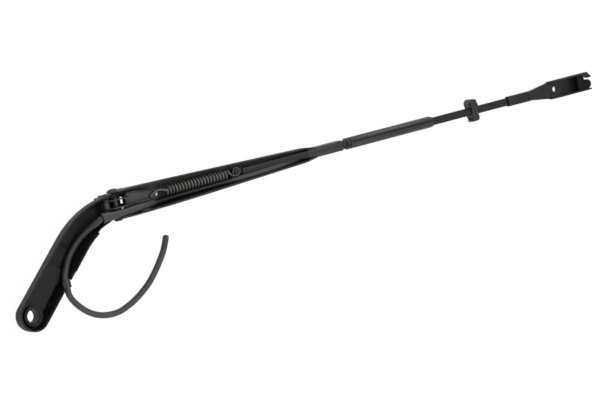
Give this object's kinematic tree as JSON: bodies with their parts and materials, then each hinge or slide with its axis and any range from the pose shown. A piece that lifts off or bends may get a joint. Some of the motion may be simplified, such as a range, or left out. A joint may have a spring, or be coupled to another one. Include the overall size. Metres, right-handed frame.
{
  "type": "wiper arm",
  "caption": "Sprung wiper arm with a cranked channel head, folded retainer, flat bar, clip-on hose cover, washer nozzle clip and loose washer hose, lying glass side up.",
  "frame": {"origin": "centre of the spindle bore, level with the face of its boss on the glass side", "axes": "+X along the arm from the spindle's end to the tip, +Z out of the glass side as the spindle leaves its bore, +Y towards the side that the arm is cranked to"},
  "size_m": [0.7999, 0.1376, 0.0293],
  "materials": {
    "black_paint_head": "satin black powder paint on a casting",
    "black_paint_channel": "satin black paint on folded sheet",
    "black_paint_bar": "satin black paint on drawn bar",
    "black_paint_fitting": "satin black paint",
    "black_paint_rivet": "satin black paint",
    "spring_steel": "blackened spring steel",
    "zinc_steel": "dull zinc",
    "washer_plastic": "natural nylon",
    "phosphated_steel": "brown-grey phosphate, oiled",
    "oiled_spring_steel": "dull grey-brown oiled wire",
    "grey_plastic": "dark grey moulded plastic",
    "hose_rubber": "matt dark grey rubber",
    "cover_plastic": "matt black extrusion",
    "clip_plastic": "matt black moulding",
    "jet_metal": "dull metal"
  },
  "bodies": {
    "head": {"head": "black_paint_head", "hose_clip": "spring_steel", "hinge_rivet": "black_paint_rivet", "hinge_bush": "zinc_steel", "hinge_washers": "washer_plastic", "anchor_pin": "zinc_steel", "hose_head": "hose_rubber", "hose_bend": "hose_rubber", "hose_free": "hose_rubber"},
    "arm": {"retainer": "black_paint_channel", "bar": "black_paint_bar", "hose_guide": "grey_plastic", "hose_arm": "hose_rubber", "hose_cover": "cover_plastic", "nozzle_clip": "clip_plastic", "nozzle_jets": "jet_metal", "end_fitting": "black_paint_fitting", "tip_tongue": "clip_plastic", "tip_pin": "zinc_steel"},
    "link": {"link": "phosphated_steel", "spring": "oiled_spring_steel"}
  },
  "joints": [
    {"name": "arm_hinge", "type": "hinge", "parent": "head", "child": "arm", "pos_m": [0.131, 0.094, -0.011], "axis": [0, 1, 0], "range_deg": [0, 45], "stiffness_Nm_per_rad": 4, "springref_deg": -57.3, "deforming": ["spring", "hose_bend"]},
    {"name": "link_pivot", "type": "hinge", "parent": "head", "child": "link", "pos_m": [0.116, 0.096, -0.003], "axis": [0, 1, 0], "range_deg": [0, 41]}
  ],
  "couplings": [
    {"joint": "link_pivot", "follows": "arm_hinge", "ratio": 0.9047}
  ]
}
